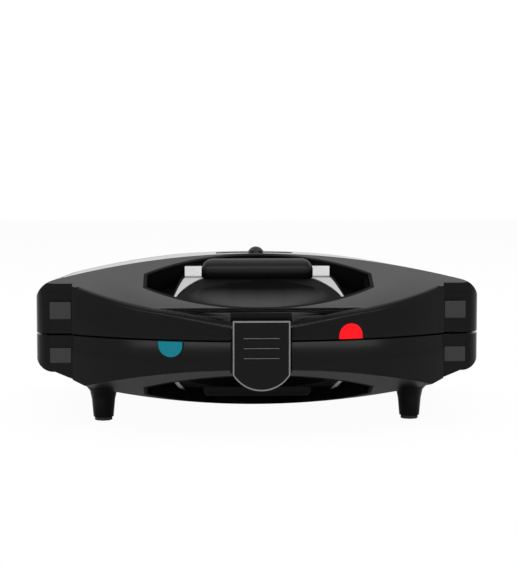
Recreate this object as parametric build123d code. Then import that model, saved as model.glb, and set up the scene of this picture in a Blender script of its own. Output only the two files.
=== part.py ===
from build123d import *
import math
import os

os.makedirs("parts", exist_ok=True)

# A snack maker lying closed: +X to the user's right, -Y towards the user, +Z up.
# The lid and the base are two near mirror images of each other about the seam.
# Every paired piece is built once, above a seam at zero height, and then placed.

# Driving dimensions, in millimetres.
WIDTH = 250.0
SEAM_Z = 52.0
SEAM_GAP = 1.2
WALL = 2.6
FRONT_Y = -66.0
REAR_Y = 99.5
CORNER_R = 11.0
HALF = WIDTH / 2
RIM = SEAM_GAP / 2

# The bow handle's plan: one wide arc in front of the housing.
BOW_HALF = 104.0
BOW_END_Y = -69.0
BOW_FRONT_Y = -106.0
BOW_SAG = BOW_END_Y - BOW_FRONT_Y
BOW_R = (BOW_HALF**2 + BOW_SAG**2) / (2 * BOW_SAG)
BOW_CENTRE_Y = BOW_FRONT_Y + BOW_R

# The groove round the block at each front corner.
GROOVE_RIGHT = 122.3
GROOVE_WIDTH = 5.0
GROOVE_DEPTH = 1.8
LID_GROOVE_H = 23.8
BASE_GROOVE_H = 16.5
STEP_HIGH = 8.0
STEP_DEPTH = 0.8

# Each half's cross-section: arched crown, rounded shoulder, straight side.
SHOULDER_IN = 11.0
ARCH_SPARE = 0.7
ARCH_TURN_Y = -31.0
LID_ARCH = (43.2, 29.2, 14.5)
LID_DIP_DEG = 2.4
BASE_ARCH = (44.9, 21.0, 12.8)
BASE_DIP_DEG = 0.0

# Each half's side view: the nose on the bow, the slope behind it, the falling rear.
SLOPE_TOP_Y = -31.0
LID_NOSE = ((-106.6, 5.6), (-102.0, 12.6), (-94.0, 17.0))
LID_SLOPE_TOP = 43.0
LID_REAR = ((40.0, 41.4), (75.0, 38.6), (104.0, 34.6))
BASE_NOSE = ((-106.6, 14.2), (-105.4, 15.4), (-103.0, 16.3))
BASE_SLOPE_TOP = 45.3
BASE_REAR = ((30.0, 45.2), (70.0, 42.6), (104.0, 37.5))

# The lens-shaped finger well in the bow.
LENS_HALF = 64.5
LENS_FRONT_Y = -95.0
LENS_REAR_Y = -31.0
LENS_SAG = 24.0
LENS_R = (LENS_HALF**2 + LENS_SAG**2) / (2 * LENS_SAG)
WELL_WALL = 2.0
BAY_DEPTH = 12.0
BOWL_EDGE_DEPTH = 5.0
BOWL_WALL = 2.4
PLATEAU_H = 29.5
PLATEAU_T = 2.5
PLATEAU_FRONT_Y = -51.0
PLATEAU_HALF = 43.0
DISH_Y = -78.0
DISH_H = 44.0
DISH_R = 30.0
DISH_END_R = 13.0
DISH_HALF = 58.0

# The plate-release button, a pill that is pressed towards the seam.
BUTTON_HALF = 32.0
BUTTON_Y = -43.5
BUTTON_D = 10.0
BUTTON_TOP = 38.0
BUTTON_FLANGE_TOP = 26.7
BUTTON_FLANGE_T = 1.5
BUTTON_GAP = 0.4
BUTTON_TAB = 1.8
BUTTON_EDGE = 2.6

# The cooking plates and what lies behind each.
PLATE_W = 214.0
PLATE_D = 122.0
PLATE_Y = 31.0
FLANGE_LOW = 0.8
FLANGE_HIGH = 3.4
POCKET_W = 96.0
POCKET_D = 104.0
POCKET_X = 53.0
POCKET_DEPTH = 11.0
POCKET_TAPER = 18.0
POCKET_CORNER = 4.0
PLATE_SKIN = 2.2
RIDGE = 7.0
ELEMENT_R = 3.2
ELEMENT_H = 17.6
REFLECTOR_LOW = 5.2
REFLECTOR_HIGH = 22.2
REFLECTOR_EDGE = 5.0
REFLECTOR_CORNER = 12.0
SHEET = 0.8
DECK_LOW = 0.8
DECK_HIGH = 2.6
LEDGE_HIGH = 5.0

# The hinge behind the housing.
HINGE_Y = 106.5
KNUCKLE_R = 6.0
HINGE_PIN_R = 2.0
RUNNING = 0.05
HINGE_X = 75.0

# The latch in its channel in the middle of the bow.
LATCH_HALF = 15.4
LATCH_TOP_Z = 63.4
LATCH_SIDE_Z = 34.5
LATCH_BOTTOM_Z = 25.7
LATCH_FRONT_Y = -109.8
LATCH_T = 4.2
LATCH_PIN_Y = -102.8
LATCH_PIN_Z = 60.2
LATCH_BARREL_R = 3.1
LATCH_PIN_R = 1.5
CHANNEL_HALF = 16.6
CHANNEL_BACK_Y = -99.0

# The pilot lights, each a half-moon window with its flat side at the seam.
LIGHT_X = 49.0
LIGHT_R = 6.5
LIGHT_HIGH = 9.0
LIGHT_PROUD = 0.3

# The feet.
FOOT_X = 88.5
FOOT_FRONT_Y = -41.0
FOOT_REAR_Y = 76.0
FOOT_R = 6.4
FOOT_SIDES = 16
PAD_R = 5.0
PAD_H = 2.0

# The brushed panel on the lid.
PANEL_T = 1.0
PANEL_HALF = 110.5
PANEL_SIDE_Y = -60.0
PANEL_MID_Y = -28.0
PANEL_REAR_Y = 86.0
STUD_Y = -23.0
STUD_R = 4.8
STUD_H = 4.6

SCREW_X = 115.0
SCREW_FRONT_Y = -22.0
SCREW_REAR_Y = 80.0
BOSS_R = 4.4
PILOT_R = 1.9
SHANK_R = 1.8
HEAD_R = 3.0
HEAD_T = 1.8
HEAD_POCKET_R = 3.4
BASE_HEAD_H = 13.5
GLAND_X = -34.0
GLAND_Z = 36.0
GLAND_R = 7.0
CORD_R = 3.3

SECTION = Plane(origin=(0, 0, 0), x_dir=(1, 0, 0), z_dir=(0, -1, 0))
SIDE_VIEW = Plane(origin=(0, 0, 0), x_dir=(0, 1, 0), z_dir=(1, 0, 0))


def block(x0, x1, y0, y1, z0, z1):
    """A box between two corners."""
    middle = Pos((x0 + x1) / 2, (y0 + y1) / 2, (z0 + z1) / 2)
    return middle * Box(x1 - x0, y1 - y0, z1 - z0)


def rod_x(x0, x1, y, z, radius):
    """A round bar along X."""
    return Pos((x0 + x1) / 2, y, z) * Rot(0, 90, 0) * Cylinder(radius, x1 - x0)


def rod_z(x, y, z0, z1, radius):
    """A round bar along Z."""
    return Pos(x, y, (z0 + z1) / 2) * Cylinder(radius, z1 - z0)


def prism(face, low, high):
    """A plan face stretched between two heights."""
    return Pos(0, 0, low) * extrude(face, high - low)


def plan(inset):
    """The housing's outline from above: a rounded box and the bow in front."""
    middle_y = (FRONT_Y + REAR_Y) / 2
    depth = REAR_Y - FRONT_Y - 2 * inset
    main = Pos(0, middle_y) * RectangleRounded(WIDTH - 2 * inset, depth, CORNER_R - inset)
    disc = Pos(0, BOW_CENTRE_Y) * Circle(BOW_R - inset)
    strip = Pos(0, -80) * Rectangle(2 * (BOW_HALF - inset), 80)
    return main + (disc & strip)


def arch_bar(arch, dip, inset):
    """A long bar of one cross-section, dipping a little towards the rear."""
    crown, shoulder, side = arch
    half = HALF - inset + ARCH_SPARE
    inner = HALF - inset - SHOULDER_IN
    low = -12.0
    sides = (half, side - inset - 2 * ARCH_SPARE)
    tops = (inner, shoulder - inset)
    middle = (HALF - inset - 0.25 * SHOULDER_IN, side - inset + 0.66 * (shoulder - side))
    outline = Line((-half, low), (half, low)) + Line((half, low), sides)
    outline += ThreePointArc(sides, middle, tops)
    outline += ThreePointArc(tops, (0, crown - inset), (-tops[0], tops[1]))
    outline += ThreePointArc((-tops[0], tops[1]), (-middle[0], middle[1]), (-sides[0], sides[1]))
    outline += Line((-sides[0], sides[1]), (-half, low))
    bar = Pos(0, 150, 0) * extrude(SECTION * make_face(outline), 300)
    return Pos(0, ARCH_TURN_Y, 0) * Rot(-dip, 0, 0) * bar


def side_bar(nose, top, rear, drop):
    """All that lies under the side view's outline, as a long bar along X."""
    start, middle, end = [(y, h - drop) for y, h in nose]
    rise = (top - nose[2][1]) / (SLOPE_TOP_Y - nose[2][0])
    peak_y = SLOPE_TOP_Y + 12
    peak = (peak_y, nose[2][1] + rise * (peak_y - nose[2][0]) - drop)
    falls = [(y, h - drop) for y, h in rear]
    outline = Polyline((falls[2][0], -8), (-125, -8), (-125, start[1]), start)
    outline += ThreePointArc(start, middle, end)
    outline += Polyline(end, peak, (falls[0][0], peak[1]), falls[0])
    outline += ThreePointArc(*falls)
    outline += Line(falls[2], (falls[2][0], -8))
    return Pos(-140, 0, 0) * extrude(SIDE_VIEW * make_face(outline), 280)


def slope_body(nose, top, drop):
    """All that lies a set drop under the sloping front and its flat continuation."""
    start, middle, end = [(y, h - drop) for y, h in nose]
    rise = (top - nose[2][1]) / (SLOPE_TOP_Y - nose[2][0])
    far_y = SLOPE_TOP_Y + 40
    far = (far_y, nose[2][1] + rise * (far_y - nose[2][0]) - drop)
    outline = Polyline((120, -8), (-125, -8), (-125, start[1]), start)
    outline += ThreePointArc(start, middle, end)
    outline += Polyline(end, far, (120, far[1]), (120, -8))
    return Pos(-140, 0, 0) * extrude(SIDE_VIEW * make_face(outline), 280)


def half_form(arch, dip, nose, top, rear, inset, low):
    """The outside of one half, or its inside when it is inset by the wall."""
    body = prism(plan(inset), low, 60) & arch_bar(arch, dip, inset)
    return body & (Pos(0, inset * 0.5, 0) * side_bar(nose, top, rear, inset * 0.9))


def lens(inset):
    """The plan of the finger well: two arcs with cut-off ends."""
    front = Pos(0, LENS_FRONT_Y + LENS_R) * Circle(LENS_R - inset)
    rear = Pos(0, LENS_REAR_Y - LENS_R) * Circle(LENS_R - inset)
    ends = Pos(0, LENS_FRONT_Y) * Rectangle(2 * (LENS_HALF - inset), 160)
    return front & rear & ends


def bowl_plan(grow):
    """The plan of the bowl inside the well, widening towards the user."""
    side = (36.0 + grow, -30.0)
    middle = (44.5 + grow, -58.0)
    front = (48.0 + grow, -95.0)
    outline = ThreePointArc(side, middle, front)
    outline += Line(front, (-front[0], front[1]))
    outline += ThreePointArc((-front[0], front[1]), (-middle[0], middle[1]), (-side[0], side[1]))
    outline += Line((-side[0], side[1]), side)
    return make_face(outline)


def dish(grow):
    """The scoop in the bowl: a shallow barrel lying along X."""
    half = [(0, DISH_R + grow), (14, DISH_R - 0.9 + grow), (30, DISH_R - 4.5 + grow)]
    half += [(46, DISH_R - 10.6 + grow), (DISH_HALF, DISH_END_R + grow)]
    outline = [(-x, r) for x, r in reversed(half[1:])] + half
    outline = Polyline((-DISH_HALF, 0), *outline, (DISH_HALF, 0), (-DISH_HALF, 0))
    barrel = revolve(make_face(outline), Axis.X, 360)
    return Pos(0, DISH_Y, DISH_H) * barrel


def rounded_bar(half, radius):
    """A bar with five-sided round ends, seen from above."""
    turns = [math.radians(90 - 22.5 * step) for step in range(9)]
    right = [(half - radius + radius * math.cos(turn), radius * math.sin(turn)) for turn in turns]
    left = [(-x, -y) for x, y in right]
    return make_face(Polyline(*right, *left, right[0]))


def pill(grow):
    """The plan of the release button."""
    return Pos(0, BUTTON_Y) * rounded_bar(BUTTON_HALF + grow, BUTTON_D / 2 + grow)


def finger_well(form, nose, top):
    """The cup that closes the lens-shaped hole, with the bowl and the button's shelf."""
    inner = prism(lens(WELL_WALL), 0, 60)
    wall = prism(bowl_plan(BOWL_WALL / 2) - bowl_plan(-BOWL_WALL / 2), 0, 60)
    wall = wall & slope_body(nose, top, BOWL_EDGE_DEPTH)
    bays = inner - slope_body(nose, top, BAY_DEPTH) - wall
    bays -= prism(bowl_plan(-BOWL_WALL / 2), 0, 60)
    scoop = inner & prism(bowl_plan(-BOWL_WALL / 2), 0, 60) & dish(0)
    shelf_zone = block(-PLATEAU_HALF, PLATEAU_HALF, PLATEAU_FRONT_Y, -25, 0, PLATEAU_H)
    above_shelf = inner & block(-41.5, 41.5, PLATEAU_FRONT_Y, -25, PLATEAU_H, 60)
    front_open = inner & prism(bowl_plan(-BOWL_WALL / 2), 0, 60)
    front_open -= slope_body(nose, top, BOWL_EDGE_DEPTH)
    cup = prism(lens(0), 6.0, 60) & form
    cup -= bays
    cup -= scoop - shelf_zone
    cup -= front_open
    cup -= above_shelf
    hollow = prism(lens(WELL_WALL + 0.3), 0, 60) & slope_body(nose, top, BAY_DEPTH + 2.2)
    hollow -= dish(PLATE_SKIN)
    hollow -= shelf_zone & block(-200, 200, PLATEAU_FRONT_Y, -25, PLATEAU_H - PLATEAU_T, 60)
    under_shelf = prism(lens(WELL_WALL + 0.3), 0, PLATEAU_H - PLATEAU_T)
    under_shelf = under_shelf & block(-40, 40, PLATEAU_FRONT_Y + 2.2, -25, 0, 60)
    cup -= hollow
    cup -= under_shelf
    cup -= prism(pill(BUTTON_GAP), 10, 60)
    return cup


def well_trim(nose, top, cheeks):
    """A thin polished tail along each edge of the bowl, in the lid with a cheek beside the button."""
    inner = prism(lens(WELL_WALL + 0.1), 0, 60)
    tail = prism(bowl_plan(BOWL_WALL / 2) - bowl_plan(-BOWL_WALL / 2), 0, 60)
    tail = tail & slope_body(nose, top, BOWL_EDGE_DEPTH - 1.0)
    tail -= slope_body(nose, top, BOWL_EDGE_DEPTH)
    tail = tail & inner & block(-60, 60, -100, PLATEAU_FRONT_Y, 0, 60)
    if not cheeks:
        return tail
    cheek = block(-41.4, 41.4, PLATEAU_FRONT_Y + 0.1, -33.4, PLATEAU_H, 36.4)
    cheek -= block(-28.0, 28.0, -60, -25, 0, 60)
    cheek -= prism(pill(BUTTON_GAP), 0, 60)
    return tail + (cheek & inner)


def release_button():
    """A pill with a domed top and a tab at each end that keeps it behind the shelf."""
    body = prism(pill(0), BUTTON_FLANGE_TOP - BUTTON_FLANGE_T, BUTTON_TOP)
    body = chamfer(body.edges().group_by(Axis.Z)[-1], BUTTON_EDGE)
    flange_low = BUTTON_FLANGE_TOP - BUTTON_FLANGE_T
    tabs = Pos(0, BUTTON_Y) * rounded_bar(BUTTON_HALF + BUTTON_TAB, BUTTON_D / 2)
    body += prism(tabs, flange_low, BUTTON_FLANGE_TOP)
    return body


def half_casing(form, inside, nose, top):
    """One moulded shell with its latch channel and its lens-shaped hole."""
    channel_outer = block(-CHANNEL_HALF - 2.4, CHANNEL_HALF + 2.4, -112, CHANNEL_BACK_Y + 2.4, -9, 60)
    shell = form - (inside - channel_outer)
    shell -= block(-CHANNEL_HALF, CHANNEL_HALF, -112, CHANNEL_BACK_Y, -9, 60)
    shell -= prism(lens(0), 3, 60)
    return shell


def corner_pocket(right, high, radius):
    """A shallow pocket's outline in the front face, rounded at its outer upper corner."""
    corner = (right - radius, high - radius)
    outline = Polyline((BOW_HALF - 1, -1), (right, -1), (right, corner[1]))
    bend = radius * math.sqrt(0.5)
    outline += ThreePointArc((right, corner[1]), (corner[0] + bend, corner[1] + bend), (corner[0], high))
    outline += Polyline((corner[0], high), (BOW_HALF - 1, high), (BOW_HALF - 1, -1))
    return make_face(outline)


def corner_grooves(high, block_high):
    """The groove round the raised block at each front corner, and the block's low step."""
    outer = corner_pocket(GROOVE_RIGHT, high, 5.0)
    block_face = corner_pocket(GROOVE_RIGHT - GROOVE_WIDTH, block_high, 2.0)
    step = Pos((BOW_HALF - 1 + GROOVE_RIGHT - GROOVE_WIDTH) / 2, STEP_HIGH / 2) * Rectangle(
        GROOVE_RIGHT - GROOVE_WIDTH - BOW_HALF + 1, STEP_HIGH + 4
    )
    start = Pos(0, FRONT_Y + GROOVE_DEPTH, 0)
    cuts = start * extrude(SECTION * (outer - block_face), GROOVE_DEPTH + 3)
    cuts += Pos(0, FRONT_Y + STEP_DEPTH, 0) * extrude(SECTION * step, STEP_DEPTH + 3)
    return cuts + mirror(cuts, about=Plane.YZ)


def light_profile(x):
    """A half-moon: its flat side at the seam, its round side away from it."""
    straight = LIGHT_HIGH - LIGHT_R
    outline = Polyline((x - LIGHT_R, straight), (x - LIGHT_R, RIM), (x + LIGHT_R, RIM), (x + LIGHT_R, straight))
    outline += ThreePointArc((x + LIGHT_R, straight), (x, LIGHT_HIGH), (x - LIGHT_R, straight))
    return Pos(0, -90, 0) * extrude(SECTION * make_face(outline), 30)


def inner_frame(screw_holes):
    """The deck round the cooking plate, closing the half at the seam."""
    deck = prism(plan(WALL + 0.3), DECK_LOW, DECK_HIGH)
    half_w = PLATE_W / 2
    y0 = PLATE_Y - PLATE_D / 2
    y1 = PLATE_Y + PLATE_D / 2
    deck += block(-half_w - 2.5, half_w + 2.5, y0 - 2.5, y1 + 2.5, DECK_LOW, LEDGE_HIGH)
    deck -= block(-half_w - 0.5, half_w + 0.5, y0 - 0.5, y1 + 0.5, 0, FLANGE_HIGH)
    deck -= block(-half_w + 3, half_w - 3, y0 + 5, y1 - 5, 0, 10)
    deck -= block(-CHANNEL_HALF - 2.7, CHANNEL_HALF + 2.7, -112, CHANNEL_BACK_Y + 2.7, -9, 60)
    for x, y in screw_holes:
        deck -= post(x, y, 0, 10, HEAD_R + 0.4)
    return deck


def triangle(x, side, grow):
    """Half of a sandwich pocket, cut off by the diagonal ridge."""
    half_w = POCKET_W / 2
    half_d = POCKET_D / 2
    square = Rectangle(POCKET_W, POCKET_D)
    cut = RIDGE / 2 * math.hypot(half_w, half_d) / half_w
    corner = Polyline(
        (-half_w, -half_d + cut),
        (-half_w, half_d),
        (half_w - cut * half_w / half_d, half_d),
        (-half_w, -half_d + cut),
    )
    face = square & make_face(corner)
    if grow:
        face = offset(face, grow, kind=Kind.INTERSECTION)
    face = chamfer(face.vertices(), POCKET_CORNER)
    if side < 0:
        face = Rot(0, 0, 180) * face
    return Pos(x, PLATE_Y) * face


def cooking_plate():
    """A cast plate: a flange with four tapered triangular pockets for two sandwiches."""
    y0 = PLATE_Y - PLATE_D / 2
    plate = block(-PLATE_W / 2, PLATE_W / 2, y0, y0 + PLATE_D, FLANGE_LOW, FLANGE_HIGH)
    plate = fillet(plate.edges().filter_by(Axis.Z), 7.0)
    shapes = [(x, side) for x in (-POCKET_X, POCKET_X) for side in (1, -1)]
    for x, side in shapes:
        cup = extrude(triangle(x, side, PLATE_SKIN), POCKET_DEPTH + PLATE_SKIN, taper=POCKET_TAPER)
        plate += Pos(0, 0, FLANGE_LOW) * cup
    for x, side in shapes:
        hollow = extrude(triangle(x, side, 0), POCKET_DEPTH, taper=POCKET_TAPER)
        plate -= Pos(0, 0, FLANGE_LOW) * hollow
    return plate


def heating_element():
    """A six-sided tubular element in one loop, with its two cold ends at the rear."""
    reach = 82.0
    cut = 10.0
    front = PLATE_Y - 44
    rear = PLATE_Y + 44
    half = [(14, rear), (reach - cut, rear), (reach, rear - cut), (reach, front + cut), (reach - cut, front)]
    points = half + [(-x, y) for x, y in reversed(half)]
    path = Polyline(*[(x, y, ELEMENT_H) for x, y in points])
    section = Plane(origin=path @ 0, z_dir=path % 0) * RegularPolygon(ELEMENT_R, 6)
    return sweep(section, path, transition=Transition.RIGHT)


def reflector():
    """A pressed tray behind the element."""
    half_w = PLATE_W / 2 - 1.0
    y0 = PLATE_Y - PLATE_D / 2 + 1.5
    y1 = PLATE_Y + PLATE_D / 2 - 1.5
    tray = block(-half_w, half_w, y0, y1, REFLECTOR_LOW, REFLECTOR_HIGH)
    tray = chamfer(tray.edges().filter_by(Axis.Z), REFLECTOR_CORNER)
    tray = chamfer(tray.edges().group_by(Axis.Z)[-1], REFLECTOR_EDGE)
    top = REFLECTOR_HIGH - SHEET
    room = block(-half_w + SHEET, half_w - SHEET, y0 + SHEET, y1 - SHEET, 0, top)
    room = chamfer(room.edges().filter_by(Axis.Z), REFLECTOR_CORNER - 0.6 * SHEET)
    room = chamfer(room.edges().group_by(Axis.Z)[-1], REFLECTOR_EDGE - 0.3 * SHEET)
    return tray - room


def post(x, y, low, high, radius):
    """An eight-sided post."""
    return Pos(x, y, low) * extrude(RegularPolygon(radius, 8), high - low)


def screw(x, y, head_low, shank_low, shank_high):
    """A pan-head screw: a round head and a plain shank on either side of it."""
    return post(x, y, head_low, head_low + HEAD_T, HEAD_R) + post(x, y, shank_low, shank_high, SHANK_R)


def knuckle(x0, x1):
    """One hinge knuckle with the arm that carries it, above the seam's zero height."""
    arm = block(x0, x1, REAR_Y, HINGE_Y, 0.6, 9.5)
    ring = Pos(x0, HINGE_Y, 0) * Rot(0, 90, 0) * RegularPolygon(KNUCKLE_R, 16)
    eye = extrude(ring, x1 - x0)
    eye -= rod_x(x0 - 1, x1 + 1, HINGE_Y, 0, HINGE_PIN_R + RUNNING)
    arm -= rod_x(x0 - 1, x1 + 1, HINGE_Y, 0, HINGE_PIN_R + RUNNING)
    return arm + eye


def to_lid(solid):
    """Places a piece that was built above the seam in the lid."""
    return Pos(0, 0, SEAM_Z) * solid


def to_base(solid):
    """Turns a piece that was built above the seam over into the base."""
    return Pos(0, 0, SEAM_Z) * mirror(solid, about=Plane.XY)


SCREW_SPOTS = [(x, y) for x in (-SCREW_X, SCREW_X) for y in (SCREW_FRONT_Y, SCREW_REAR_Y)]


def lid_outer(inset, low):
    """The lid's outside, or its inside."""
    return half_form(LID_ARCH, LID_DIP_DEG, LID_NOSE, LID_SLOPE_TOP, LID_REAR, inset, low)


def base_outer(inset, low):
    """The base's outside, or its inside."""
    return half_form(BASE_ARCH, BASE_DIP_DEG, BASE_NOSE, BASE_SLOPE_TOP, BASE_REAR, inset, low)


LID_FORM = lid_outer(0, RIM)
LID_INSIDE = lid_outer(WALL, -2)
BASE_FORM = base_outer(0, RIM)
BASE_INSIDE = base_outer(WALL, -2)


def panel_plan():
    """The brushed panel's outline: its front edge follows the crease of the bow."""
    outline = ThreePointArc((-PANEL_HALF, PANEL_SIDE_Y), (0, PANEL_MID_Y), (PANEL_HALF, PANEL_SIDE_Y))
    outline += Polyline(
        (PANEL_HALF, PANEL_SIDE_Y),
        (PANEL_HALF, PANEL_REAR_Y),
        (-PANEL_HALF, PANEL_REAR_Y),
        (-PANEL_HALF, PANEL_SIDE_Y),
    )
    return fillet(make_face(outline).vertices(), 5.0)


def lid_casing():
    """The moulded lid shell."""
    shell = half_casing(LID_FORM, LID_INSIDE, LID_NOSE, LID_SLOPE_TOP)
    shell -= corner_grooves(LID_GROOVE_H, LID_GROOVE_H - GROOVE_WIDTH)
    shell -= light_profile(LIGHT_X)
    shell -= prism(panel_plan(), 5, 60) - lid_outer(PANEL_T, -2)
    for x, y in SCREW_SPOTS:
        shell += post(x, y, 5.4, 30, BOSS_R) & LID_FORM
        shell -= post(x, y, 5, 17, PILOT_R)
    pin_h = LATCH_PIN_Z - SEAM_Z
    shell -= rod_x(-CHANNEL_HALF - 2.2, CHANNEL_HALF + 2.2, LATCH_PIN_Y, pin_h, LATCH_PIN_R + 0.02)
    return to_lid(shell)


def foot_ring(radius, z):
    """One level of the foot's outline."""
    return Pos(0, 0, z) * RegularPolygon(radius, FOOT_SIDES)


def foot(x, y):
    """A moulded column that flares where it meets the underside."""
    levels = [(FOOT_R - 0.6, PAD_H), (FOOT_R + 0.3, 12.0), (FOOT_R + 1.4, 17.0)]
    levels += [(FOOT_R + 4.4, 20.5), (FOOT_R + 9.5, 24.0)]
    column = extrude(foot_ring(FOOT_R + 9.5, 24.0), 10)
    for lower, upper in zip(levels, levels[1:]):
        column += loft([foot_ring(*lower), foot_ring(*upper)])
    return Pos(x, y, 0) * column - to_base(BASE_FORM)


FEET = [(x, y) for x in (-FOOT_X, FOOT_X) for y in (FOOT_FRONT_Y, FOOT_REAR_Y)]


def vent_slots():
    """Two rows of cooling slots in the belly."""
    spots = [(side * 42, 8 + 9 * number) for side in (-1, 1) for number in range(5)]
    return [block(x - 22, x + 22, y - 1.6, y + 1.6, 0, 30) for x, y in spots]


def base_casing():
    """The moulded base shell with its four feet."""
    shell = half_casing(BASE_FORM, BASE_INSIDE, BASE_NOSE, BASE_SLOPE_TOP)
    shell -= corner_grooves(BASE_GROOVE_H, BASE_GROOVE_H + GROOVE_WIDTH)
    shell -= light_profile(-LIGHT_X)
    for x, y in SCREW_SPOTS:
        shell += post(x, y, 5.4, 30, BOSS_R) & BASE_FORM
        shell -= post(x, y, 4, 40, PILOT_R) + post(x, y, BASE_HEAD_H, 40, HEAD_POCKET_R)
    shell = to_base(shell)
    for slot in vent_slots():
        shell -= slot
    shell -= Pos(GLAND_X, REAR_Y, GLAND_Z) * Rot(90, 0, 0) * Cylinder(GLAND_R - 1.5, 20)
    return shell


def lid_top_panel():
    """The brushed steel skin in its recess."""
    skin = (prism(panel_plan(), 5, 60) & LID_FORM) - lid_outer(PANEL_T, -2)
    return to_lid(skin)


def badge_plate():
    """A bare oval plate on the panel."""
    oval = Pos(0, 4, 0) * Ellipse(23, 12)
    body = (prism(oval, 20, 60) & lid_outer(-0.7, RIM)) - LID_FORM
    return to_lid(body)


def panel_stud():
    """The small domed stud that pins the panel's front edge."""
    rings = [(STUD_R, 0), (STUD_R - 0.5, 2.4), (STUD_R - 2.0, 3.9), (STUD_R - 3.8, STUD_H)]
    faces = [Pos(0, 0, h) * RegularPolygon(radius, 12) for radius, h in rings]
    dome = loft(faces[:2]) + loft(faces[1:3]) + loft(faces[2:])
    return to_lid(Pos(0, STUD_Y, LID_ARCH[0] - 1.0) * dome - LID_FORM)


def lamp(x):
    """A neon lamp lying behind its window."""
    body = Pos(x, -90, 5.6) * Rot(90, 0, 0) * Cylinder(2.4, 9)
    return body


def light_lens(x, form, grown, inside):
    """The coloured window, flush with the bow and a little proud of it."""
    channel = light_profile(x) & grown
    return channel - inside


def latch():
    """The latch: a plate with a rounded foot, three finger grooves, a barrel and a hook."""
    outline = Polyline(
        (-LATCH_HALF, LATCH_SIDE_Z),
        (-LATCH_HALF, LATCH_TOP_Z),
        (LATCH_HALF, LATCH_TOP_Z),
        (LATCH_HALF, LATCH_SIDE_Z),
    )
    outline += ThreePointArc((LATCH_HALF, LATCH_SIDE_Z), (0, LATCH_BOTTOM_Z), (-LATCH_HALF, LATCH_SIDE_Z))
    plate = Pos(0, LATCH_FRONT_Y + LATCH_T, 0) * extrude(SECTION * make_face(outline), LATCH_T)
    plate = chamfer(plate.edges().group_by(Axis.Y)[0], 0.7)
    for z in (54.0, 48.6, 43.2):
        plate -= block(-10, 10, LATCH_FRONT_Y - 1, LATCH_FRONT_Y + 1.0, z - 0.6, z + 0.6)
    back_y = LATCH_FRONT_Y + LATCH_T
    plate += rod_x(-14.5, 14.5, LATCH_PIN_Y, LATCH_PIN_Z, LATCH_BARREL_R)
    plate += block(-14.5, 14.5, back_y - 0.5, LATCH_PIN_Y, LATCH_PIN_Z - 2.4, LATCH_PIN_Z + 2.4)
    plate += block(-10, 10, back_y - 0.5, -101.6, 28.6, 31.6)
    plate -= rod_x(-20, 20, LATCH_PIN_Y, LATCH_PIN_Z, LATCH_PIN_R + RUNNING)
    return plate


def cord_gland():
    """The inlet that the cord leaves the base by: a neck in the wall and a collar behind."""
    rear = Plane(origin=(GLAND_X, 96, GLAND_Z), x_dir=(1, 0, 0), z_dir=(0, 1, 0))
    neck = extrude(rear * RegularPolygon(GLAND_R - 1.6, 16), 4)
    collar = extrude(rear.offset(3.5) * RegularPolygon(GLAND_R, 16), 12)
    bore = Pos(GLAND_X, 104, GLAND_Z) * Rot(90, 0, 0) * Cylinder(CORD_R, 40)
    return neck + collar - bore


def group(items):
    """Several separate solids as one piece."""
    return Compound(children=[solid for item in items for solid in item.solids()])


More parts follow.
